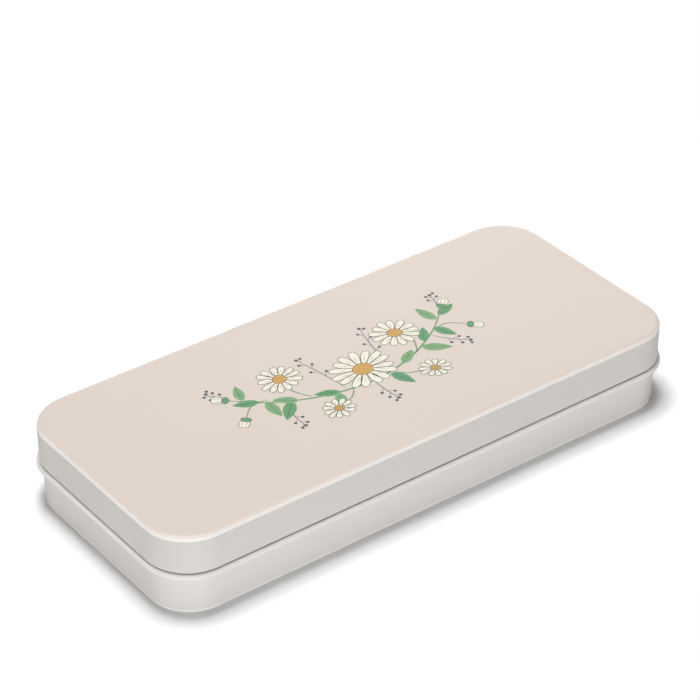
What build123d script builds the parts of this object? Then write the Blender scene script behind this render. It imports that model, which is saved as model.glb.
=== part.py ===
from build123d import *
import os
from math import hypot

os.makedirs("parts", exist_ok=True)

# Hinged tinplate box for watercolours: a drawn base and lid, a plastic tray with
# twelve round pans of colour, and a brush in the trough between the two rows.
# Millimetres. Origin at the middle of the underside, +X along the length,
# +Y towards the hinge side, +Z up. The tin is shown closed.

# Outside of the closed tin
lid_length = 210.0
lid_width = 91.7
lid_corner = 16.3
tin_height = 30.6
lid_edge_radius = 1.6
lid_lower_edge = 16.65

# Tinplate, and the hems where its edges are folded inwards
sheet = 0.3
hem = 0.4
hem_height = 2.0
hem_round = (sheet + hem) / 2 - 0.02

# Base: the wall stands inside the lid, and the bead stands proud of it
wall_inset = 1.1
base_edge_radius = 0.9
bead_proud = 1.0
bead_low = 14.0
bead_top = 16.3
bead_round = (bead_top - bead_low) / 2 - 0.01
bead_blend = 0.25
neck_top = 22.0

# Hinge: a wire pin in knuckles curled from the lid's and the base's own sheet
pin_radius = 0.5
pin_chamfer = 0.15
knuckle_bore = 0.55
knuckle_outer = knuckle_bore + sheet
hinge_y = lid_width / 2 - sheet + knuckle_outer
hinge_z = bead_top + knuckle_outer
stations = {"left": -62.0, "right": 62.0}
lid_knuckle = 8.0
base_knuckle = 6.0
knuckle_gap = 0.4
base_knuckle_out = lid_knuckle / 2 + knuckle_gap + base_knuckle / 2
station_length = lid_knuckle + 2 * (knuckle_gap + base_knuckle)
window_gap = 0.5
window_top = lid_lower_edge + hem_height
notch_kerf = 0.2

# Tray: one plastic moulding that stands on the base's floor
tray_inset = 2.1
deck_top = 17.5
plastic = 1.0
tray_edge_radius = 0.6
hole_radius = 13.3
collar_depth = 3.0
pan_columns = 6
pan_pitch = 32.5
row_y = 27.0
trough_length = 174.0
trough_width = 12.0
trough_floor = 6.0
scoop_radius = 11.0
rim_round = 0.4

# Pans, hung in the tray's holes by their flanges, and their cakes of colour
flange_radius = 14.5
flange_thick = 0.8
flange_round = 0.3
pan_radius = 13.1
pan_foot_radius = 12.2
pan_depth = 9.0
pan_wall = 0.8
pan_low = deck_top - pan_depth
pan_high = deck_top + flange_thick
cake_ease = 0.05
cake_level = 16.9
cake_rim = 1.5
cake_dish = 1.0

# Brush, lying along X with its tip towards +X
tuft_length = 16.0
ferrule_length = 20.0
handle_length = 124.0
ferrule_radius = 2.7
ferrule_tip_radius = 2.35
ferrule_taper = 7.0
crimp_depth = 0.15
crimp_width = 1.0
crimp_pitch = 2.4
tenon_length = 9.0
tenon_ease = 0.02
tuft_root = 5.0
tuft_belly_radius = 2.6
tuft_belly_run = 4.5
belly_radius = 3.4
belly_run = 26.0
tail_radius = 1.9
brush_z = trough_floor + 4.4
rib_thick = 2.0
rib_x = (-52.0, 53.0)
rib_ease = 0.1

brush_tip = (tuft_length + ferrule_length + handle_length) / 2
ferrule_front = brush_tip - tuft_length
ferrule_back = ferrule_front - ferrule_length
handle_end = ferrule_back - handle_length
belly_x = ferrule_back - belly_run
tail_x = handle_end + tail_radius

pan_places = [
    ((column - (pan_columns - 1) / 2) * pan_pitch, side * row_y)
    for side in (1, -1)
    for column in range(pan_columns)
]
colours = [
    "white", "yellow", "orange", "red", "pink", "violet",
    "blue", "sky_blue", "green", "leaf_green", "brown", "black",
]


def save(solid, name):
    solid.label = name
    export_step(solid, f"parts/{name}.step")


def outline(offset, mode=Mode.ADD):
    """Rounded rectangle at a distance outside (+) or inside (-) the lid's wall."""
    RectangleRounded(
        lid_length + 2 * offset, lid_width + 2 * offset, lid_corner + offset, mode=mode
    )


def outline_distance(point):
    """How far a point stands outside the lid's wall, seen from above."""
    along = abs(point.X) - (lid_length / 2 - lid_corner)
    across = abs(point.Y) - (lid_width / 2 - lid_corner)
    if along > 0 and across > 0:
        return hypot(along, across) - lid_corner
    return max(along, across) - lid_corner


def rim_edges(part, height, offset):
    """Level edges that follow the outline at one height of a part."""
    level = part.edges().filter_by_position(Axis.Z, height - 0.01, height + 0.01)
    return level.filter_by(lambda edge: abs(outline_distance(edge @ 0.5) - offset) < 0.02)


def slab(low, high, offset, low_round=0.0, high_round=0.0):
    """Solid on the outline between two heights, with its lower or upper rim rounded."""
    with BuildPart() as block:
        with BuildSketch(Plane.XY.offset(low)):
            outline(offset)
        extrude(amount=high - low)
        if low_round:
            fillet(block.faces().sort_by(Axis.Z)[0].edges(), low_round)
        if high_round:
            fillet(block.faces().sort_by(Axis.Z)[-1].edges(), high_round)
    return block.part


def hem_band(low, outer_offset):
    """Folded edge of the sheet: a band of double thickness that lies inside the wall."""
    with BuildSketch(Plane.XY.offset(low)) as band:
        outline(outer_offset)
        outline(outer_offset - sheet - hem, mode=Mode.SUBTRACT)
    extrude(band.sketch, amount=hem_height)


def knuckle(centre_x, width, gap_side, leaf_corner, leaf_size):
    """Sheet curled three quarters of the way round the pin, with its flat leaf."""
    with BuildSketch(Plane.YZ.offset(centre_x - width / 2)) as curl:
        with Locations((hinge_y, hinge_z)):
            Circle(knuckle_outer)
            Circle(knuckle_bore, mode=Mode.SUBTRACT)
            Rectangle(
                knuckle_outer, knuckle_outer, align=(Align.MAX, gap_side), mode=Mode.SUBTRACT
            )
        with Locations(leaf_corner):
            Rectangle(*leaf_size, align=(Align.MIN, Align.MIN))
    extrude(curl.sketch, amount=width)


# Base shell: a drawn cup, beaded outwards below the lid's edge and hemmed at its mouth
cup = slab(0, neck_top, -wall_inset, low_round=base_edge_radius)
cup_inside = slab(sheet, neck_top, -wall_inset - sheet, low_round=base_edge_radius - sheet)
bead = slab(bead_low, bead_top, bead_proud, bead_round, bead_round)
bead_inside = slab(
    bead_low + sheet,
    bead_top - sheet,
    bead_proud - sheet,
    bead_round - sheet,
    bead_round - sheet,
)
neck_face_y = lid_width / 2 - wall_inset
with BuildPart() as base_shell:
    add(cup)
    add(bead)
    fillet(rim_edges(base_shell, bead_top, -wall_inset), bead_blend)
    fillet(rim_edges(base_shell, bead_low, -wall_inset), bead_blend)
    add(cup_inside, mode=Mode.SUBTRACT)
    add(bead_inside, mode=Mode.SUBTRACT)
    hem_band(neck_top - hem_height, -wall_inset)
    fillet(base_shell.faces().sort_by(Axis.Z)[-1].edges(), hem_round)
    # the tongues that curl round the pins leave notches in the neck
    for station in stations.values():
        for side in (-1, 1):
            tongue_x = station + side * base_knuckle_out
            with Locations((tongue_x, neck_face_y, bead_top)):
                Box(
                    base_knuckle + 2 * notch_kerf,
                    4 * (sheet + hem),
                    neck_top - bead_top,
                    align=(Align.CENTER, Align.CENTER, Align.MIN),
                    mode=Mode.SUBTRACT,
                )
            knuckle(
                tongue_x,
                base_knuckle,
                Align.MAX,
                (neck_face_y - sheet, bead_top),
                (hinge_y - neck_face_y + sheet, sheet),
            )
save(base_shell.part, "base_shell")

# Lid shell: a drawn cap, hemmed at its lower edge, with one knuckle at each hinge
cap = slab(lid_lower_edge, tin_height, 0, high_round=lid_edge_radius)
cap_inside = slab(
    lid_lower_edge, tin_height - sheet, -sheet, high_round=lid_edge_radius - sheet
)
with BuildPart() as lid_shell:
    add(cap)
    add(cap_inside, mode=Mode.SUBTRACT)
    hem_band(lid_lower_edge, 0)
    fillet(lid_shell.faces().sort_by(Axis.Z)[0].edges(), hem_round)
    for station in stations.values():
        with Locations((station, lid_width / 2, lid_lower_edge)):
            Box(
                station_length + 2 * window_gap,
                4 * (sheet + hem),
                window_top - lid_lower_edge,
                align=(Align.CENTER, Align.CENTER, Align.MIN),
                mode=Mode.SUBTRACT,
            )
        knuckle(
            station,
            lid_knuckle,
            Align.MIN,
            (lid_width / 2 - sheet, hinge_z),
            (sheet, window_top + sheet - hinge_z),
        )
save(lid_shell.part, "lid_shell")

# Hinge pins: lengths of wire
for name, station in stations.items():
    with BuildPart() as hinge_pin:
        with BuildSketch(Plane.YZ.offset(station - station_length / 2)):
            with Locations((hinge_y, hinge_z)):
                Circle(pin_radius)
        extrude(amount=station_length)
        chamfer(hinge_pin.faces().filter_by(Axis.X).edges(), pin_chamfer)
    save(hinge_pin.part, f"hinge_pin_{name}")


def handle_radius(x):
    """Radius of the brush's handle where it tapers straight from belly to tail."""
    share = (belly_x - x) / (belly_x - tail_x)
    return belly_radius + (tail_radius - belly_radius) * share


# Tray: a deck on a skirt, collared holes for the pans, a trough for the brush with a
# scoop for the fingers, and two notched ribs that the brush lies in
brush_radius_at_rib = {
    rib_x[0]: handle_radius(rib_x[0] + rib_thick / 2),
    rib_x[1]: ferrule_radius,
}
with BuildPart() as tray:
    with BuildSketch(Plane.XY.offset(sheet)):
        outline(-tray_inset)
    extrude(amount=deck_top - sheet)
    fillet(tray.faces().sort_by(Axis.Z)[-1].edges(), tray_edge_radius)
    with BuildSketch(Plane.XY.offset(sheet)):
        outline(-tray_inset - plastic)
    extrude(amount=deck_top - sheet - plastic, mode=Mode.SUBTRACT)
    with BuildSketch(Plane.XY.offset(deck_top - plastic)):
        with Locations(*pan_places):
            Circle(hole_radius + plastic)
    extrude(amount=-collar_depth)
    with BuildSketch(Plane.XY.offset(deck_top - plastic)):
        SlotOverall(trough_length + 2 * plastic, trough_width + 2 * plastic)
        Circle(scoop_radius + plastic)
    extrude(amount=trough_floor - deck_top)
    with BuildSketch(Plane.XY.offset(deck_top)):
        with Locations(*pan_places):
            Circle(hole_radius)
    extrude(amount=-plastic - collar_depth, mode=Mode.SUBTRACT)
    with BuildSketch(Plane.XY.offset(deck_top)):
        SlotOverall(trough_length, trough_width)
        Circle(scoop_radius)
    extrude(amount=trough_floor - deck_top, mode=Mode.SUBTRACT)
    deck = tray.faces().sort_by(Axis.Z)[-1]
    fillet(deck.inner_wires().sort_by(SortBy.LENGTH)[-1].edges(), rim_round)
    for x, radius in brush_radius_at_rib.items():
        with BuildSketch(Plane.YZ.offset(x - rib_thick / 2)):
            with Locations((0, trough_floor)):
                Rectangle(
                    trough_width, brush_z - trough_floor, align=(Align.CENTER, Align.MIN)
                )
            with Locations((0, brush_z + rib_ease)):
                Circle(radius + rib_ease, mode=Mode.SUBTRACT)
        extrude(amount=rib_thick)
save(tray.part, "tray")


def pan_at(x, y):
    """Tapered round cup with a flange that rests on the tray's deck."""
    with BuildPart() as pan:
        with BuildSketch(Plane((x, y, 0), (1, 0, 0), (0, -1, 0))) as pan_profile:
            with BuildLine():
                Polyline(
                    (0, pan_low),
                    (pan_foot_radius, pan_low),
                    (pan_radius, deck_top),
                    (flange_radius, deck_top),
                    (flange_radius, pan_high),
                    (pan_radius - pan_wall, pan_high),
                    (pan_foot_radius - pan_wall, pan_low + pan_wall),
                    (0, pan_low + pan_wall),
                    close=True,
                )
            make_face()
            fillet(pan_profile.vertices().group_by(Axis.Y)[-1], flange_round)
        revolve(axis=Axis((x, y, 0), (0, 0, 1)))
    return pan.part


def bore_radius(height):
    """Inside radius of a pan at a height."""
    share = (height - pan_low - pan_wall) / (pan_high - pan_low - pan_wall)
    return pan_foot_radius - pan_wall + (pan_radius - pan_foot_radius) * share


def cake_at(x, y):
    """Cake of pressed colour that fills a pan, with a shallow dish in its top."""
    foot = bore_radius(pan_low + pan_wall) - cake_ease
    top = bore_radius(cake_level) - cake_ease
    with BuildPart() as cake:
        with BuildSketch(Plane((x, y, 0), (1, 0, 0), (0, -1, 0))):
            with BuildLine():
                Polyline(
                    (0, cake_level - cake_dish),
                    (0, pan_low + pan_wall),
                    (foot, pan_low + pan_wall),
                    (top, cake_level),
                    (top - cake_rim, cake_level),
                )
                TangentArc(
                    (0, cake_level - cake_dish), (top - cake_rim, cake_level), tangent=(1, 0)
                )
            make_face()
        revolve(axis=Axis((x, y, 0), (0, 0, 1)))
    return cake.part


for number, ((x, y), colour) in enumerate(zip(pan_places, colours), start=1):
    save(pan_at(x, y), f"pan_{number:02d}")
    save(cake_at(x, y), f"paint_{colour}")

# Brush: handle with a tenon, crimped ferrule, and a pointed tuft
brush_plane = Plane((0, 0, brush_z), (1, 0, 0), (0, -1, 0))
brush_axis = Axis((0, 0, brush_z), (1, 0, 0))
ferrule_bore = ferrule_radius - sheet
ferrule_tip_bore = ferrule_tip_radius - sheet

with BuildPart() as brush_handle:
    with BuildSketch(brush_plane):
        with BuildLine():
            Polyline(
                (ferrule_back, ferrule_radius),
                (ferrule_back, ferrule_bore - tenon_ease),
                (ferrule_back + tenon_length, ferrule_bore - tenon_ease),
                (ferrule_back + tenon_length, 0),
                (handle_end, 0),
            )
            tail = RadiusArc((handle_end, 0), (tail_x, tail_radius), tail_radius)
            Line((tail_x, tail_radius), (belly_x, belly_radius))
            Spline(
                (belly_x, belly_radius),
                (ferrule_back, ferrule_radius),
                tangents=[(belly_x - tail_x, belly_radius - tail_radius), (1, 0)],
            )
        make_face()
    revolve(axis=brush_axis)
save(brush_handle.part, "brush_handle")

with BuildPart() as brush_ferrule:
    with BuildSketch(brush_plane):
        with BuildLine():
            Polyline(
                (ferrule_back, ferrule_bore),
                (ferrule_back, ferrule_radius),
                (ferrule_front - ferrule_taper, ferrule_radius),
                (ferrule_front, ferrule_tip_radius),
                (ferrule_front, ferrule_tip_bore),
                (ferrule_front - ferrule_taper, ferrule_bore),
                close=True,
            )
        make_face()
        for turn in (1, 2):
            with Locations((ferrule_back + turn * crimp_pitch, ferrule_radius)):
                Ellipse(crimp_width / 2, crimp_depth, mode=Mode.SUBTRACT)
    revolve(axis=brush_axis)
save(brush_ferrule.part, "brush_ferrule")

with BuildPart() as brush_tuft:
    with BuildSketch(brush_plane):
        with BuildLine():
            Polyline(
                (brush_tip, 0),
                (ferrule_front - tuft_root, 0),
                (ferrule_front - tuft_root, ferrule_tip_bore),
                (ferrule_front, ferrule_tip_bore),
            )
            Spline(
                (ferrule_front, ferrule_tip_bore),
                (ferrule_front + tuft_belly_run, tuft_belly_radius),
                (brush_tip, 0),
                tangents=[(4, 1), (4, -1)],
            )
        make_face()
    revolve(axis=brush_axis)
save(brush_tuft.part, "brush_tuft")
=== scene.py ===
import math
import random

import bpy
from mathutils import Matrix, Vector


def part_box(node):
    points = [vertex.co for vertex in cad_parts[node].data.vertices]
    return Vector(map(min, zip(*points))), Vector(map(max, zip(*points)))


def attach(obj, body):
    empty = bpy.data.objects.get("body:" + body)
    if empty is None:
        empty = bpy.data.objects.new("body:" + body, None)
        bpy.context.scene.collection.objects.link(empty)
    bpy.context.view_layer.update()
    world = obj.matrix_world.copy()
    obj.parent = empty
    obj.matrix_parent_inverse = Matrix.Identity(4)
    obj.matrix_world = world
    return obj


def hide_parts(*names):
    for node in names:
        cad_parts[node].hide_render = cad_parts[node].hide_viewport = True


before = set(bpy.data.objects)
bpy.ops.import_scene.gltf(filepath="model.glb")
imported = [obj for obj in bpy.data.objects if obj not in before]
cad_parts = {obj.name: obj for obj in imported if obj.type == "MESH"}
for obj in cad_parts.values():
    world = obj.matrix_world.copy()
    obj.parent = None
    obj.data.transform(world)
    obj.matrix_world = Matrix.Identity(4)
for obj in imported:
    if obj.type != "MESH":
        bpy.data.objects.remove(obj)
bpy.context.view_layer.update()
random.seed(7)

MM = 0.001

# The tin's own dimensions, in millimetres, as in the CAD source
LID_LENGTH = 210.0
LID_WIDTH = 91.7
LID_CORNER = 16.3
TIN_HEIGHT = 30.6
BEAD_LOW = 14.0

# Angle between neighbours that are spread evenly over a disc, in radians
GOLDEN_ANGLE = 2.39996


# Shader helpers
class Shader:
    """A node material whose last node is a Principled shader."""

    def __init__(self, name, color=(0.8, 0.8, 0.8), **sockets):
        self.mat = bpy.data.materials.new(name)
        self.mat.use_nodes = True
        self.tree = self.mat.node_tree
        self.bsdf = self.tree.nodes["Principled BSDF"]
        self.coords = self.tree.nodes.new("ShaderNodeTexCoord").outputs["Object"]
        self.bsdf.inputs["Base Color"].default_value = (*color, 1.0)
        for socket, value in sockets.items():
            self.bsdf.inputs[socket.replace("_", " ")].default_value = value

    def link(self, value, socket):
        """Join an output to a socket, or set a constant on it."""
        if isinstance(value, bpy.types.NodeSocket):
            self.tree.links.new(value, socket)
        elif isinstance(value, (int, float)) or not hasattr(socket.default_value, "__len__"):
            socket.default_value = value
        elif len(value) < len(socket.default_value):
            socket.default_value = (*value, 1.0)
        else:
            socket.default_value = value

    def math(self, operation, *values):
        node = self.tree.nodes.new("ShaderNodeMath")
        node.operation = operation
        for index, value in enumerate(values):
            self.link(value, node.inputs[index])
        return node.outputs[0]

    def vector(self, operation, *values, out=0):
        node = self.tree.nodes.new("ShaderNodeVectorMath")
        node.operation = operation
        for index, value in enumerate(values):
            self.link(value, node.inputs[index])
        return node.outputs[out]

    def stretch(self, scale, at=None):
        """The object's coordinates, scaled along X, Y and Z."""
        return self.vector("MULTIPLY", at or self.coords, scale)

    def axis(self, index):
        """One of the object's coordinates: 0 along X, 1 along Y, 2 along Z."""
        node = self.tree.nodes.new("ShaderNodeSeparateXYZ")
        self.link(self.coords, node.inputs[0])
        return node.outputs[index]

    def noise(self, scale, detail=3.0, roughness=0.5, at=None, distortion=0.0):
        node = self.tree.nodes.new("ShaderNodeTexNoise")
        self.link(at or self.coords, node.inputs["Vector"])
        node.inputs["Scale"].default_value = scale
        node.inputs["Detail"].default_value = detail
        node.inputs["Roughness"].default_value = roughness
        node.inputs["Distortion"].default_value = distortion
        return node.outputs["Fac"]

    def cells(self, scale):
        node = self.tree.nodes.new("ShaderNodeTexVoronoi")
        self.link(self.coords, node.inputs["Vector"])
        node.inputs["Scale"].default_value = scale
        return node.outputs["Distance"]

    def ramp(self, value, low, high, out_low=0.0, out_high=1.0):
        """Value mapped from low..high to out_low..out_high, and held at both ends."""
        node = self.tree.nodes.new("ShaderNodeMapRange")
        for index, item in enumerate((value, low, high, out_low, out_high)):
            self.link(item, node.inputs[index])
        return node.outputs[0]

    def mix(self, share, first, second):
        node = self.tree.nodes.new("ShaderNodeMix")
        node.data_type = "RGBA"
        self.link(share, node.inputs[0])
        self.link(first, node.inputs[6])
        self.link(second, node.inputs[7])
        return node.outputs[2]

    def color(self, value):
        self.link(value, self.bsdf.inputs["Base Color"])

    def rough(self, value):
        self.link(value, self.bsdf.inputs["Roughness"])

    def metal(self, value):
        self.link(value, self.bsdf.inputs["Metallic"])

    def bump(self, height, strength, distance):
        node = self.tree.nodes.new("ShaderNodeBump")
        node.inputs["Strength"].default_value = strength
        node.inputs["Distance"].default_value = distance
        self.link(height, node.inputs["Height"])
        previous = self.bsdf.inputs["Normal"]
        if previous.is_linked:
            self.link(previous.links[0].from_socket, node.inputs["Normal"])
        self.tree.links.new(node.outputs[0], previous)


def srgb(red, green, blue):
    """Linear colour of an 8-bit display colour."""
    def linear(value):
        value /= 255.0
        return value / 12.92 if value <= 0.04045 else ((value + 0.055) / 1.055) ** 2.4
    return (linear(red), linear(green), linear(blue))


def dress(node, shader):
    """Give a CAD node a material."""
    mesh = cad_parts[node].data
    mesh.materials.clear()
    mesh.materials.append(shader.mat)


# Colours, as linear values unless they go through srgb
WALL_WHITE = (0.690, 0.656, 0.625)
# Painted highlight on the lid's rounded edge, lighter than the walls' enamel
RIM_PAINTED_HIGHLIGHT = (0.885, 0.872, 0.856)
# The same enamel as the lid's walls, painted a little lighter on the base: painted light from the
# floor
BASE_WHITE_PAINTED_LIGHTER = (0.735, 0.702, 0.671)
# Painted highlight on the base's bead
BEAD_PAINTED_HIGHLIGHT = (0.815, 0.795, 0.770)
# Painted reflection of the floor on the base's lower edge
EDGE_PAINTED_REFLECTION = (0.93, 0.92, 0.905)
INSIDE_WHITE = (0.70, 0.693, 0.678)
BLUSH = (0.622, 0.538, 0.482)
BLUSH_CLOUD = (0.616, 0.532, 0.476)
STEEL = srgb(168, 168, 170)
FLOOR_WHITE = (0.985, 0.985, 0.985)
FLOOR_BOUNCE = (0.45, 0.45, 0.45)

# Heights in mm at which the enamel's colour changes: below the tin's top on the lid,
# and above the table or the bead's underside on the base
BLUSH_FADES = (1.20, 0.10)
# From these heights up, the lid's edge carries the painted highlight
RIM_HIGHLIGHT_STARTS = (1.58, 1.50)
# Up to these heights, the base's lower edge carries the painted reflection
FOOT_REFLECTION_ENDS = (0.9, 1.5)
# From these heights above the bead's underside up, the base carries the painted highlight
BEAD_HIGHLIGHT_STARTS = (0.15, 0.6)
RUBBED_HEIGHT = 0.25

# Heights in mm between which the middle of the shells lies, and the width in m of the
# change from their inside to their outside
CORE_HEIGHTS = (10, 22)
SIDE_CHANGE = 1e-4

ENAMEL_ROUGHNESS = 0.5
ENAMEL_GRAIN = 0.15
TRAY_ROUGHNESS = 0.32
PAN_ROUGHNESS = 0.22
DIPPED_LENGTH = 18.0
DIPPED_EDGE = 0.4
DARK_TIP_LENGTH = 9


def outward(shader):
    """1 on the outside of a box-shaped shell, 0 on the side that faces its middle."""
    half_x = (LID_LENGTH / 2 - LID_CORNER) * MM
    half_y = (LID_WIDTH / 2 - LID_CORNER) * MM
    middle = shader.vector(
        "MINIMUM",
        shader.vector("MAXIMUM", shader.coords, (-half_x, -half_y, CORE_HEIGHTS[0] * MM)),
        (half_x, half_y, CORE_HEIGHTS[1] * MM),
    )
    away = shader.vector("SUBTRACT", shader.coords, middle)
    normal = shader.tree.nodes.new("ShaderNodeTexCoord").outputs["Normal"]
    facing = shader.vector("DOT_PRODUCT", away, normal, out=1)
    return shader.ramp(facing, -SIDE_CHANGE, SIDE_CHANGE)


def enamel_finish(shader):
    """The sheen of baked enamel on thin sheet: faint orange peel and soft cloudiness."""
    cloud = shader.noise(38.0, 4.0, 0.6)
    fine = shader.noise(2600.0, 2.0, 0.5)
    shader.rough(
        shader.math(
            "ADD",
            shader.ramp(cloud, 0.3, 0.7, ENAMEL_ROUGHNESS - 0.04, ENAMEL_ROUGHNESS + 0.05),
            shader.ramp(fine, 0.2, 0.8, -0.03, 0.03),
        )
    )
    shader.bump(fine, ENAMEL_GRAIN, 0.00006)
    shader.bump(shader.noise(55.0, 2.0, 0.5), 0.04, 0.0004)


def scuffs(shader):
    """Share of hair-thin scratches, at two angles."""
    total = None
    for angle, seed in ((0.35, 3.1), (-0.75, 8.7)):
        turn = shader.tree.nodes.new("ShaderNodeVectorRotate")
        turn.inputs["Angle"].default_value = angle
        shader.link(shader.vector("ADD", shader.coords, (seed, seed, 0.0)), turn.inputs["Vector"])
        streak = shader.noise(1.0, 1.0, 0.5, at=shader.stretch((18.0, 4200.0, 60.0), turn.outputs[0]))
        patch = shader.noise(24.0, 2.0, 0.5, at=turn.outputs[0])
        line = shader.math("MULTIPLY", shader.ramp(streak, 0.72, 0.80), shader.ramp(patch, 0.55, 0.7))
        total = line if total is None else shader.math("MAXIMUM", total, line)
    return total


def lid_enamel():
    """Blush top whose print ends on the rounded edge, where a painted highlight makes the edge's
    lower part lighter than the off-white walls.
    """
    shader = Shader("lid_enamel", BLUSH, IOR=1.5)
    height = shader.axis(2)
    top = shader.ramp(height, *[(TIN_HEIGHT - drop) * MM for drop in BLUSH_FADES])
    # Painted highlight: the rounded edge's lower part is painted lighter than the walls' white
    rim = shader.ramp(height, *[(TIN_HEIGHT - drop) * MM for drop in RIM_HIGHLIGHT_STARTS])
    outside = outward(shader)
    mottle = shader.noise(30.0, 5.0, 0.6)
    blush = shader.mix(shader.ramp(mottle, 0.3, 0.7), BLUSH, BLUSH_CLOUD)
    skin = shader.mix(top, shader.mix(rim, WALL_WHITE, RIM_PAINTED_HIGHLIGHT), blush)
    shader.color(
        shader.mix(
            shader.math("MULTIPLY", scuffs(shader), 0.16),
            shader.mix(outside, INSIDE_WHITE, skin),
            srgb(190, 184, 178),
        )
    )
    enamel_finish(shader)
    return shader


def base_enamel():
    """Off-white, with a painted highlight on the bead and a painted reflection on the lower edge,
    both lighter than the base's white; rubbed bare where it stands.
    """
    shader = Shader("base_enamel", BASE_WHITE_PAINTED_LIGHTER, IOR=1.5)
    height = shader.axis(2)
    # Painted reflection: the lower edge is painted near white
    foot_reflection = shader.ramp(height, *[rise * MM for rise in FOOT_REFLECTION_ENDS], 1.0, 0.0)
    # Painted highlight: the bead is painted lighter than the base's white
    bead_highlight = shader.ramp(height, *[(BEAD_LOW + rise) * MM for rise in BEAD_HIGHLIGHT_STARTS])
    skin = shader.mix(foot_reflection, shader.mix(bead_highlight, BASE_WHITE_PAINTED_LIGHTER, BEAD_PAINTED_HIGHLIGHT), EDGE_PAINTED_REFLECTION)
    rubbed = shader.ramp(shader.noise(210.0, 4.0, 0.75), 0.69, 0.76)
    ring = shader.ramp(height, 0.0, RUBBED_HEIGHT * MM, 1.0, 0.0)
    bare = shader.math("MULTIPLY", rubbed, ring)
    skin = shader.mix(bare, skin, STEEL)
    shader.color(
        shader.mix(
            shader.math("MULTIPLY", scuffs(shader), 0.14),
            shader.mix(outward(shader), INSIDE_WHITE, skin),
            srgb(186, 182, 176),
        )
    )
    enamel_finish(shader)
    shader.metal(shader.math("MULTIPLY", bare, 0.8))
    return shader


def hinge_steel():
    """Drawn wire, streaked along its length."""
    shader = Shader("hinge_steel", STEEL, Metallic=1.0)
    drawn = shader.noise(1.0, 3.0, 0.6, at=shader.stretch((90.0, 5200.0, 5200.0)))
    shader.color(shader.mix(shader.ramp(drawn, 0.3, 0.7), STEEL, srgb(138, 138, 141)))
    shader.rough(shader.ramp(drawn, 0.2, 0.8, 0.26, 0.42))
    shader.bump(drawn, 0.2, 0.00002)
    return shader


def moulded_plastic(name, color, rough):
    """Injection-moulded plastic: slight flow clouding, a fine texture, a few rubs."""
    shader = Shader(name, color, IOR=1.49)
    cloud = shader.noise(45.0, 3.0, 0.55)
    dark = tuple(channel * 0.93 for channel in color)
    shader.color(shader.mix(shader.ramp(cloud, 0.35, 0.7), color, dark))
    fine = shader.noise(3200.0, 2.0, 0.5)
    shader.rough(
        shader.math(
            "ADD",
            shader.ramp(cloud, 0.3, 0.7, rough - 0.03, rough + 0.06),
            shader.math("MULTIPLY", scuffs(shader), 0.25),
        )
    )
    shader.bump(fine, 0.12, 0.00004)
    shader.bsdf.inputs["Subsurface Weight"].default_value = 0.06
    shader.bsdf.inputs["Subsurface Radius"].default_value = (0.0012, 0.001, 0.0009)
    return shader


def pressed_colour(name, color):
    """Dry cake of colour: powdery, with darker pores and a few pale specks."""
    shader = Shader(name, color, IOR=1.45)
    grain = shader.noise(1400.0, 4.0, 0.65)
    broad = shader.noise(120.0, 3.0, 0.6)
    pores = shader.ramp(shader.cells(900.0), 0.0, 0.16, 1.0, 0.0)
    deep = tuple(channel * 0.72 for channel in color)
    pale = tuple(min(1.0, channel * 1.12 + 0.015) for channel in color)
    body = shader.mix(shader.ramp(broad, 0.3, 0.7), deep, color)
    body = shader.mix(shader.ramp(grain, 0.45, 0.75), body, pale)
    shader.color(shader.mix(shader.math("MULTIPLY", pores, 0.5), body, deep))
    shader.rough(shader.ramp(grain, 0.3, 0.7, 0.66, 0.88))
    shader.bump(shader.math("SUBTRACT", grain, pores), 0.35, 0.00012)
    shader.bsdf.inputs["Sheen Weight"].default_value = 0.15
    return shader


def lacquered_wood():
    """Clear-lacquered pale wood, with its grain along the handle and a dipped end."""
    shader = Shader("lacquered_wood", srgb(196, 142, 88), IOR=1.5)
    along = shader.stretch((14.0, 420.0, 420.0))
    grain = shader.noise(1.0, 5.0, 0.6, at=along, distortion=0.8)
    pores = shader.noise(1.0, 2.0, 0.5, at=shader.stretch((160.0, 3200.0, 3200.0)))
    wood = shader.mix(shader.ramp(grain, 0.3, 0.72), srgb(206, 156, 102), srgb(158, 104, 58))
    wood = shader.mix(
        shader.math("MULTIPLY", shader.ramp(pores, 0.62, 0.75), 0.5), wood, srgb(104, 62, 32)
    )
    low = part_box("brush_handle")[0]
    dip_end = low[0] + DIPPED_LENGTH * MM
    dip = shader.ramp(shader.axis(0), dip_end - DIPPED_EDGE * MM, dip_end, 1.0, 0.0)
    shader.color(shader.mix(dip, wood, srgb(52, 92, 78)))
    shader.rough(shader.ramp(grain, 0.3, 0.7, 0.24, 0.34))
    shader.bump(grain, 0.08, 0.00005)
    shader.bsdf.inputs["Coat Weight"].default_value = 0.6
    shader.bsdf.inputs["Coat Roughness"].default_value = 0.12
    return shader


def ferrule_metal():
    """Bright metal with turning marks around it and a few smears."""
    shader = Shader("ferrule_metal", srgb(205, 206, 209), Metallic=1.0)
    turned = shader.noise(1.0, 3.0, 0.6, at=shader.stretch((4200.0, 110.0, 110.0)))
    smear = shader.noise(160.0, 4.0, 0.7)
    shader.color(shader.mix(shader.ramp(smear, 0.4, 0.75), srgb(212, 213, 215), srgb(172, 172, 174)))
    shader.rough(
        shader.math(
            "ADD",
            shader.ramp(turned, 0.3, 0.7, 0.16, 0.28),
            shader.ramp(smear, 0.4, 0.8, 0.0, 0.12),
        )
    )
    shader.bump(turned, 0.15, 0.00002)
    return shader


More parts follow.
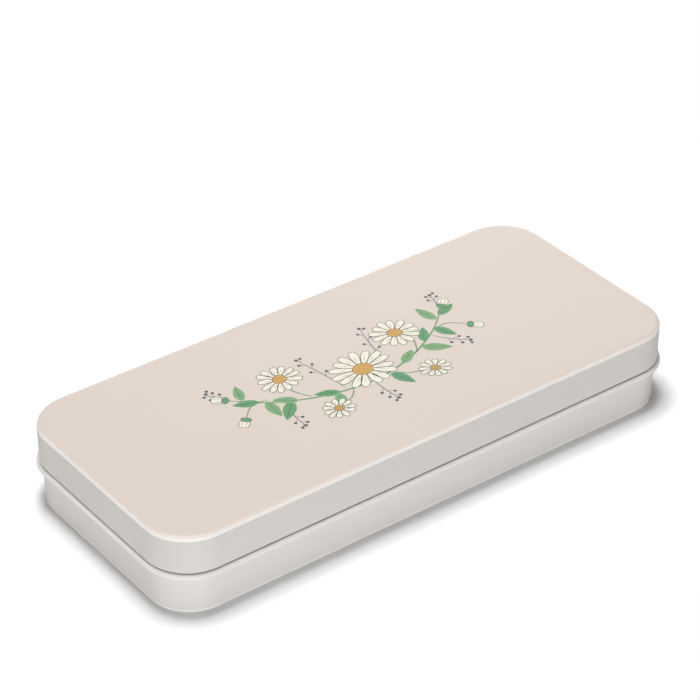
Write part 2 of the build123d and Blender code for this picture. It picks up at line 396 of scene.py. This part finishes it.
def hair():
    """Brown hair that darkens towards the tuft's tip."""
    shader = Shader("brush_hair", srgb(108, 72, 42), Roughness=0.42, IOR=1.55)
    strand = shader.noise(1.0, 2.0, 0.5, at=shader.stretch((60.0, 2600.0, 2600.0)))
    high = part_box("brush_tuft")[1]
    tip = shader.ramp(shader.axis(0), high[0] - DARK_TIP_LENGTH * MM, high[0])
    root = shader.mix(shader.ramp(strand, 0.3, 0.7), srgb(84, 52, 28), srgb(142, 98, 58))
    shader.color(shader.mix(shader.math("MULTIPLY", tip, 0.6), root, srgb(60, 36, 20)))
    shader.bsdf.inputs["Sheen Weight"].default_value = 0.2
    return shader


# The twelve cakes, in 8-bit display colours
PAINTS = {
    "white": (224, 224, 218), "yellow": (240, 202, 28), "orange": (226, 118, 22),
    "red": (186, 30, 32), "pink": (206, 84, 124), "violet": (92, 50, 122),
    "blue": (24, 52, 142), "sky_blue": (50, 136, 188), "green": (20, 112, 76),
    "leaf_green": (112, 160, 48), "brown": (98, 58, 34), "black": (26, 26, 28),
}

dress("lid_shell", lid_enamel())
dress("base_shell", base_enamel())
steel = hinge_steel()
dress("hinge_pin_left", steel)
dress("hinge_pin_right", steel)
dress("tray", moulded_plastic("tray_plastic", srgb(222, 221, 216), TRAY_ROUGHNESS))
pan_plastic = moulded_plastic("pan_plastic", srgb(227, 227, 224), PAN_ROUGHNESS)
for number in range(1, len(PAINTS) + 1):
    dress(f"pan_{number:02d}", pan_plastic)
for name, shade in PAINTS.items():
    dress(f"paint_{name}", pressed_colour(f"colour_{name}", srgb(*shade)))
dress("brush_handle", lacquered_wood())
dress("brush_ferrule", ferrule_metal())


def mesh_piece(name, points, faces, shader, smooth=False):
    """New object in one material, from points in metres."""
    mesh = bpy.data.meshes.new(name)
    mesh.from_pydata([tuple(point) for point in points], [], faces)
    mesh.validate()
    for polygon in mesh.polygons:
        polygon.use_smooth = smooth
    mesh.materials.append(shader.mat)
    piece = bpy.data.objects.new(name, mesh)
    bpy.context.scene.collection.objects.link(piece)
    return piece


# The brush's tuft: lengths and radii in mm, and the belly's place as a share of the length
TUFT_LENGTH = 16.0
TUFT_MOUTH_RADIUS = 2.02
TUFT_SWELL = 0.5
TUFT_TIP_RADIUS = 0.03
TUFT_BELLY_AT = 0.25
HAIRS = 420
HAIR_RINGS = 12
HAIR_SIDES = 4
HAIR_LENGTH = 15.9
HAIR_ROOT = 1.2
HAIR_THICK = 0.1
HAIR_FINE = 0.075


def tuft_radius(share):
    """Radius of the tuft from the ferrule's mouth (0) to the tip (1)."""
    if share < TUFT_BELLY_AT:
        return TUFT_MOUTH_RADIUS + TUFT_SWELL * math.sin(share / TUFT_BELLY_AT * math.pi / 2)
    beyond = (share - TUFT_BELLY_AT) / (1 - TUFT_BELLY_AT)
    return (TUFT_MOUTH_RADIUS + TUFT_SWELL) * (1 - beyond ** 1.7) + TUFT_TIP_RADIUS


def make_tuft():
    """Separate hairs, spread evenly over the ferrule's mouth and gathered at the tip."""
    low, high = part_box("brush_tuft")
    mouth = high[0] - TUFT_LENGTH * MM
    middle_y = (low[1] + high[1]) / 2
    middle_z = (low[2] + high[2]) / 2
    points = []
    faces = []
    for index in range(HAIRS):
        reach = math.sqrt((index + 0.5) / HAIRS)
        turn = index * GOLDEN_ANGLE + random.uniform(-0.1, 0.1)
        length = 1.0 - 0.16 * random.random() * reach - 0.02
        width = HAIR_FINE if reach > 0.8 else HAIR_THICK
        wave = random.uniform(-0.07, 0.07)
        start = len(points)
        for ring in range(HAIR_RINGS + 1):
            share = ring / HAIR_RINGS * length
            radius = tuft_radius(share) * reach * (1 - width / 2.6)
            sway = turn + wave * share
            x = mouth + (share * HAIR_LENGTH - HAIR_ROOT * (ring == 0)) * MM
            thick = width * (1 - 0.82 * share ** 2)
            for corner in range(HAIR_SIDES):
                spin = corner * math.pi / 2 + turn
                points.append((
                    x,
                    middle_y + (radius * math.cos(sway) + thick * math.cos(spin)) * MM,
                    middle_z + (radius * math.sin(sway) + thick * math.sin(spin)) * MM,
                ))
            if ring:
                near = start + (ring - 1) * HAIR_SIDES
                far = near + HAIR_SIDES
                for corner in range(HAIR_SIDES):
                    after = (corner + 1) % HAIR_SIDES
                    faces.append((near + corner, near + after, far + after, far + corner))
        end = start + HAIR_RINGS * HAIR_SIDES
        faces.append(tuple(end + corner for corner in range(HAIR_SIDES)))
    tuft = mesh_piece("tuft_hairs", points, faces, hair(), smooth=True)
    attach(tuft, "base")
    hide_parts("brush_tuft")


make_tuft()


# The printed garland: widths and radii in mm
PETAL_LINE = 0.24
PETAL_VEIN = 0.16
CENTRE_LINE = 0.22
CENTRE_DOTS = 16
DOT_RADIUS = 0.2
DOT_CORNERS = (0, 1.26, 2.51, 3.77, 5.03)
BUD_LINE = 0.22
BUD_VEIN = 0.2
CUP_LINE = 0.18
MIDRIB = 0.22
LEAF_VEIN = 0.14
STALK = 0.34
SIDE_SHOOT = 0.24
SIDE_SHOOTS_AT = (0.42, 0.56, 0.69, 0.81, 0.92)
SIDE_BERRY_RADIUS = 0.62
END_BERRY_RADIUS = 0.7


class Print:
    """Flat shapes of one printed colour, collected into one thin mesh."""

    def __init__(self, lift):
        self.points = []
        self.faces = []
        self.height = (TIN_HEIGHT + lift) * MM

    def put(self, x, y):
        self.points.append((x * MM, y * MM, self.height))
        return len(self.points) - 1

    def blob(self, outline):
        """Filled shape that is star-shaped about its middle."""
        middle = self.put(
            sum(point[0] for point in outline) / len(outline),
            sum(point[1] for point in outline) / len(outline),
        )
        rim = [self.put(*point) for point in outline]
        for index, point in enumerate(rim):
            self.faces.append((middle, point, rim[(index + 1) % len(rim)]))

    def line(self, path, width, closed=False):
        """Brush line along a path, thin at its ends unless it closes."""
        count = len(path)
        sides = []
        for index, (x, y) in enumerate(path):
            before = path[index - 1] if closed or index else path[0]
            after = path[(index + 1) % count] if closed or index < count - 1 else path[-1]
            dx = after[0] - before[0]
            dy = after[1] - before[1]
            size = math.hypot(dx, dy) or 1.0
            share = index / max(1, count - 1)
            swell = 1.0 if closed else 0.25 + 0.75 * math.sin(math.pi * share) ** 0.6
            half = width * swell / 2
            sides.append((
                self.put(x - dy / size * half, y + dx / size * half),
                self.put(x + dy / size * half, y - dx / size * half),
            ))
        for index in range(count if closed else count - 1):
            left, right = sides[index]
            next_left, next_right = sides[(index + 1) % count]
            self.faces.append((left, right, next_right, next_left))


def curve(points, steps=14):
    """Smooth path through a few points."""
    ends = [points[0], *points, points[-1]]
    path = []
    for p0, p1, p2, p3 in zip(ends, ends[1:], ends[2:], ends[3:]):
        for step in range(steps):
            t = step / steps
            path.append(tuple(
                0.5 * (2 * b + (c - a) * t + (2 * a - 5 * b + 4 * c - d) * t ** 2
                       + (3 * b - a - 3 * c + d) * t ** 3)
                for a, b, c, d in zip(p0, p1, p2, p3)
            ))
    path.append(points[-1])
    return path


# Each printed colour lies a little higher above the lid than the one that it covers
stalks = Print(0.003)
stems = Print(0.006)
berries = Print(0.009)
leaves = Print(0.012)
leaves_pale = Print(0.016)
inks = Print(0.020)
petals = Print(0.025)
petal_inks = Print(0.030)
centres = Print(0.035)
centres_cup = Print(0.035)
dots = Print(0.040)


def leaf(x, y, angle, length, width, pale=False):
    """Pointed leaf with a midrib, growing from x, y at an angle in degrees."""
    turn = math.radians(angle)
    outline = []
    steps = 12
    bend = random.uniform(-0.12, 0.12)

    def place(along, across):
        across += bend * length * (along / length) ** 2
        return (x + along * math.cos(turn) - across * math.sin(turn),
                y + along * math.sin(turn) + across * math.cos(turn))

    for side in (1, -1):
        for step in range(steps):
            share = step / steps if side > 0 else 1 - step / steps
            half = width / 2 * math.sin(math.pi * share ** 0.8) ** 0.9
            outline.append(place(share * length, side * half))
    (leaves_pale if pale else leaves).blob(outline)
    inks.line([place(length * tenth / 10, 0) for tenth in range(1, 10)], MIDRIB)
    for share in (0.35, 0.55):
        for side in (1, -1):
            vein_end = place(length * (share + 0.16), side * width * 0.26)
            inks.line([place(length * share, 0), vein_end], LEAF_VEIN)


def daisy(x, y, radius, count, tilt=0.0, squash=1.0):
    """Open flower seen a little from the side, with petals around a dotted centre."""
    def place(along, across, turn):
        px = along * math.cos(turn) - across * math.sin(turn)
        py = (along * math.sin(turn) + across * math.cos(turn)) * squash
        return (x + px * math.cos(tilt) - py * math.sin(tilt),
                y + px * math.sin(tilt) + py * math.cos(tilt))

    for index in range(count):
        turn = 2 * math.pi * (index + random.uniform(-0.12, 0.12)) / count
        reach = radius * random.uniform(0.9, 1.04)
        inner = radius * 0.24
        half = radius * 2.35 / count
        outline = []
        for step in range(20):
            angle = 2 * math.pi * step / 20
            share = (1 - math.cos(angle)) / 2
            along = inner + (reach - inner) * share
            swell = math.sin(angle) * (0.55 + 0.45 * share)
            notch = 0.05 * radius if step == 10 else 0.0
            outline.append(place(along - notch, half * swell, turn))
        petals.blob(outline)
        petal_inks.line(outline, PETAL_LINE, closed=True)
        vein = [place(inner + (reach - inner) * s, half * 0.12, turn) for s in (0.25, 0.42, 0.6)]
        petal_inks.line(vein, PETAL_VEIN)
    rim = [place(radius * 0.3, 0, 2 * math.pi * step / 28) for step in range(28)]
    centres.blob(rim)
    dots.line(rim, CENTRE_LINE, closed=True)
    for index in range(CENTRE_DOTS):
        reach = radius * 0.25 * math.sqrt((index + 0.5) / CENTRE_DOTS)
        turn = index * GOLDEN_ANGLE
        middle = place(reach, 0, turn)
        dots.blob([
            (middle[0] + DOT_RADIUS * math.cos(a), middle[1] + DOT_RADIUS * math.sin(a))
            for a in DOT_CORNERS
        ])


def bud(x, y, angle, size):
    """Closed bud on its green cup."""
    turn = math.radians(angle)

    def place(along, across):
        return (x + along * math.cos(turn) - across * math.sin(turn),
                y + along * math.sin(turn) + across * math.cos(turn))

    outline = []
    for step in range(30):
        a = 2 * math.pi * step / 30
        ripple = 1 + 0.05 * math.cos(3 * a)
        outline.append(place(
            size * (0.58 - 0.5 * math.cos(a) * ripple),
            size * 0.36 * math.sin(a) * (1 - 0.18 * math.cos(a)),
        ))
    petals.blob(outline)
    petal_inks.line(outline, BUD_LINE, closed=True)
    for across in (-0.13, 0.12):
        vein = [place(size * s, size * across * (1.6 - 0.7 * s)) for s in (0.35, 0.55, 0.75, 0.92)]
        petal_inks.line(vein, BUD_VEIN)
    cup = []
    for step in range(24):
        a = 2 * math.pi * step / 24
        cup.append(place(size * (0.14 - 0.24 * math.cos(a)), size * 0.37 * math.sin(a)))
    centres_cup.blob(cup)
    dots.line(cup, CUP_LINE, closed=True)


def sprig(x, y, angle, length, bend):
    """Thin stalk with a dark berry at the end of each side shoot."""
    turn = math.radians(angle)

    def place(share, along=0.0, across=0.0):
        lean = turn + bend * share
        chord = turn + bend * share / 2
        reach = share * length
        return (
            x + reach * math.cos(chord) + along * math.cos(lean) - across * math.sin(lean),
            y + reach * math.sin(chord) + along * math.sin(lean) + across * math.cos(lean),
        )

    stalks.line([place(step / 12) for step in range(13)], STALK)
    for index, share in enumerate(SIDE_SHOOTS_AT):
        side = 1 if index % 2 else -1
        size = 2.6 - 1.1 * share
        tip = place(share, size, side * size)
        stalks.line([place(share), place(share, size * 0.6, side * size * 0.5), tip], SIDE_SHOOT)
        berry(tip, SIDE_BERRY_RADIUS)
    berry(place(1.0), END_BERRY_RADIUS)


def berry(middle, radius):
    """Round berry."""
    outline = []
    for step in range(12):
        a = 2 * math.pi * step / 12
        outline.append((middle[0] + radius * math.cos(a), middle[1] + radius * math.sin(a)))
    berries.blob(outline)


# The garland's layout: places in mm, angles in degrees, a sprig's bend in radians
branch = curve([(-46, 10), (-34, 0), (-18, -7), (0, -9.5), (18, -6), (34, 2), (46, 12)])
stems.line(branch, 0.8)
for side in (-1, 1):
    stems.line(curve([(side * 22, -5), (side * 25.5, 2), (side * 25, 11)]), 0.55)
    stems.line(curve([(side * 35, 2.5), (side * 41, 3), (side * 46.5, -1.5)]), 0.5)
    stems.line(curve([(side * 8, -9), (side * 12, -13), (side * 19, -15.5)]), 0.5)
for x, y, angle, length, width, pale in (
    (-38, 3.5, 165, 9, 4.0, False), (-36, 2, 262, 10, 4.2, True),
    (-29, -3, 222, 11, 4.6, False), (-27, -4, 138, 9, 3.8, True),
    (-14, -8, 250, 9, 4.0, True), (-13, -8, 158, 9, 3.8, False),
    (7, -9.5, 292, 10, 4.4, False), (14, -7.5, 34, 9, 3.8, True),
    (25, -3, 318, 11, 4.6, True), (28, -1.5, 62, 9, 4.0, False),
    (36, 3.6, 288, 9, 4.2, False), (40, 7, 108, 10, 4.2, True),
    (42, 8.6, 22, 9, 3.8, False), (-42, 7, 76, 9, 3.8, True),
):
    leaf(x, y, angle, length, width, pale)
for x, y, angle, length, bend in (
    (-10, -8, 96, 24, 0.12), (9, -7, 80, 26, -0.1), (-31, -2, 246, 15, 0.5),
    (32, 0.5, 300, 14, 0.4), (0, -9.5, 262, 13, 0.35), (-44, 8, 130, 11, -0.3),
    (44, 10, 62, 11, 0.35),
):
    sprig(x, y, angle, length, bend)
daisy(1, -2, 12.5, 15, 0.1, 0.86)
daisy(-25, 10, 8.6, 13, 0.4, 0.9)
daisy(23, 9, 9.2, 13, -0.3, 0.9)
daisy(-19, -15.5, 6.2, 11, 0.2, 0.88)
daisy(21, -16, 6.0, 11, -0.2, 0.88)
bud(-46.8, -2, 222, 5.0)
bud(46.8, -2, 318, 5.0)
bud(46, 12.2, 40, 5.2)
bud(-46, 10.2, 142, 5.2)


def printed(name, layer, color):
    """One printed colour, laid on the lid's top."""
    shader = Shader(name, color, IOR=1.5)
    screen = shader.noise(900.0, 3.0, 0.6)
    dark = tuple(channel * 0.9 for channel in color)
    shader.color(shader.mix(shader.ramp(screen, 0.35, 0.75), color, dark))
    shader.rough(shader.ramp(screen, 0.3, 0.7, 0.38, 0.48))
    shader.bump(shader.noise(2600.0, 2.0, 0.5), 0.2, 0.00005)
    piece = mesh_piece(name, layer.points, layer.faces, shader)
    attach(piece, "lid")


printed("print_stems", stems, srgb(92, 134, 84))
printed("print_leaves", leaves, srgb(70, 138, 84))
printed("print_leaves_pale", leaves_pale, srgb(104, 154, 100))
printed("print_stalks", stalks, srgb(38, 60, 66))
printed("print_inks", inks, srgb(38, 60, 66))
printed("print_berries", berries, srgb(36, 60, 68))
printed("print_petals", petals, srgb(232, 227, 209))
printed("print_petal_inks", petal_inks, srgb(58, 74, 78))
printed("print_centres", centres, srgb(196, 150, 62))
printed("print_cups", centres_cup, srgb(70, 134, 82))
printed("print_dots", dots, srgb(96, 74, 44))


# Floor, lamps, world and camera, in metres
SHADOW_REACH = 0.2
PLAIN_WHITE_FROM = 0.4
FLOOR_HALF = 3.0


def make_floor():
    """Pale floor: it keeps the tin's shadow, and is plain white where it is seen further off."""
    shader = Shader("floor_white", Roughness=0.9)
    rays = shader.tree.nodes.new("ShaderNodeLightPath").outputs
    seen = shader.math("MAXIMUM", rays["Is Camera Ray"], rays["Is Glossy Ray"])
    seen = shader.math("MAXIMUM", seen, rays["Is Transmission Ray"])
    shader.color(shader.mix(seen, FLOOR_BOUNCE, FLOOR_WHITE))
    shader.bsdf.inputs["Specular IOR Level"].default_value = 0.1
    away = shader.ramp(
        shader.vector("LENGTH", shader.coords, out=1), SHADOW_REACH, PLAIN_WHITE_FROM
    )
    white = shader.tree.nodes.new("ShaderNodeEmission")
    mixed = shader.tree.nodes.new("ShaderNodeMixShader")
    shader.link(shader.math("MULTIPLY", seen, away), mixed.inputs[0])
    shader.link(shader.bsdf.outputs[0], mixed.inputs[1])
    shader.link(white.outputs[0], mixed.inputs[2])
    shader.link(mixed.outputs[0], shader.tree.nodes["Material Output"].inputs["Surface"])
    size = FLOOR_HALF
    floor = mesh_piece(
        "floor",
        [(-size, -size, 0), (size, -size, 0), (size, size, 0), (-size, size, 0)],
        [(0, 1, 2, 3)],
        shader,
    )


make_floor()


def area_light(name, where, target, size, power):
    data = bpy.data.lights.new(name, "AREA")
    data.shape = "RECTANGLE"
    data.size, data.size_y = size
    data.energy = power
    lamp = bpy.data.objects.new(name, data)
    lamp.location = where
    lamp.rotation_euler = (Vector(target) - Vector(where)).to_track_quat("-Z", "Y").to_euler()
    bpy.context.scene.collection.objects.link(lamp)


def around(azimuth, elevation, distance):
    """Point at a compass angle (0 in front, negative to the left) and a height angle."""
    azimuth = math.radians(azimuth)
    elevation = math.radians(elevation)
    return (
        distance * math.sin(azimuth) * math.cos(elevation),
        -distance * math.cos(azimuth) * math.cos(elevation),
        distance * math.sin(elevation),
    )


LAMP_DISTANCE = 1.2
TABLE = (0, 0, 0)
TIN_MIDDLE = (0, 0, 0.015)
area_light("key_above", around(190, 84, LAMP_DISTANCE), TABLE, (0.44, 0.44), 13.6)
area_light("front_left_low", around(-37, 5, LAMP_DISTANCE), TIN_MIDDLE, (1.0, 0.16), 9.3)
area_light("front_right_low", around(30, 12, LAMP_DISTANCE), TIN_MIDDLE, (0.3, 0.15), 1.4)
area_light("back_left_low", around(-125, 9, LAMP_DISTANCE), TIN_MIDDLE, (0.3, 0.15), 1.75)
area_light("back_right_low", around(140, 12, LAMP_DISTANCE), TIN_MIDDLE, (0.7, 0.2), 4.0)

WHITE = (1.0, 1.0, 1.0, 1.0)
FILL_STRENGTH = 0.03


def make_world():
    """Faint white fill, which camera, glossy and transmission rays see as plain white."""
    world = bpy.data.worlds.new("studio")
    bpy.context.scene.world = world
    world.use_nodes = True
    tree = world.node_tree
    fill = tree.nodes["Background"]
    fill.inputs["Color"].default_value = WHITE
    fill.inputs["Strength"].default_value = FILL_STRENGTH
    backdrop = tree.nodes.new("ShaderNodeBackground")
    backdrop.inputs["Color"].default_value = WHITE
    backdrop.inputs["Strength"].default_value = 1.0
    rays = tree.nodes.new("ShaderNodeLightPath").outputs
    seen = rays["Is Camera Ray"]
    for ray in ("Is Glossy Ray", "Is Transmission Ray"):
        either = tree.nodes.new("ShaderNodeMath")
        either.operation = "MAXIMUM"
        tree.links.new(seen, either.inputs[0])
        tree.links.new(rays[ray], either.inputs[1])
        seen = either.outputs[0]
    mix = tree.nodes.new("ShaderNodeMixShader")
    tree.links.new(seen, mix.inputs[0])
    tree.links.new(fill.outputs[0], mix.inputs[1])
    tree.links.new(backdrop.outputs[0], mix.inputs[2])
    tree.links.new(mix.outputs[0], tree.nodes["World Output"].inputs["Surface"])


make_world()

# The photo's camera: angles in degrees, distances in mm, focal length in pixels
AZIMUTH = -37.061
ELEVATION = 33.864
DISTANCE = 891.55
AIM_HEIGHT = 10.5
SHIFT_RIGHT = -2.33
SHIFT_UP = 22.528
FOCAL_PIXELS = 2615.96
IMAGE_PIXELS = 700
SENSOR_WIDTH = 36.0
CLIP_START = 0.01


def make_camera():
    """Camera at the photo's angle and distance, with the frame shifted as in the photo."""
    back = Vector(around(AZIMUTH, ELEVATION, 1.0))
    turn = math.radians(AZIMUTH)
    right = Vector((math.cos(turn), math.sin(turn), 0))
    up = back.cross(right)
    data = bpy.data.cameras.new("camera")
    data.sensor_width = SENSOR_WIDTH
    data.lens = SENSOR_WIDTH * FOCAL_PIXELS / IMAGE_PIXELS
    data.clip_start = CLIP_START
    camera = bpy.data.objects.new("camera", data)
    aim = Vector((0, 0, AIM_HEIGHT))
    place = aim + back * DISTANCE + right * SHIFT_RIGHT + up * SHIFT_UP
    facing = Matrix((right, up, back)).transposed().to_4x4()
    camera.matrix_world = Matrix.Translation(place * MM) @ facing
    bpy.context.scene.collection.objects.link(camera)
    bpy.context.scene.camera = camera


make_camera()
bpy.context.scene.view_settings.view_transform = "Standard"
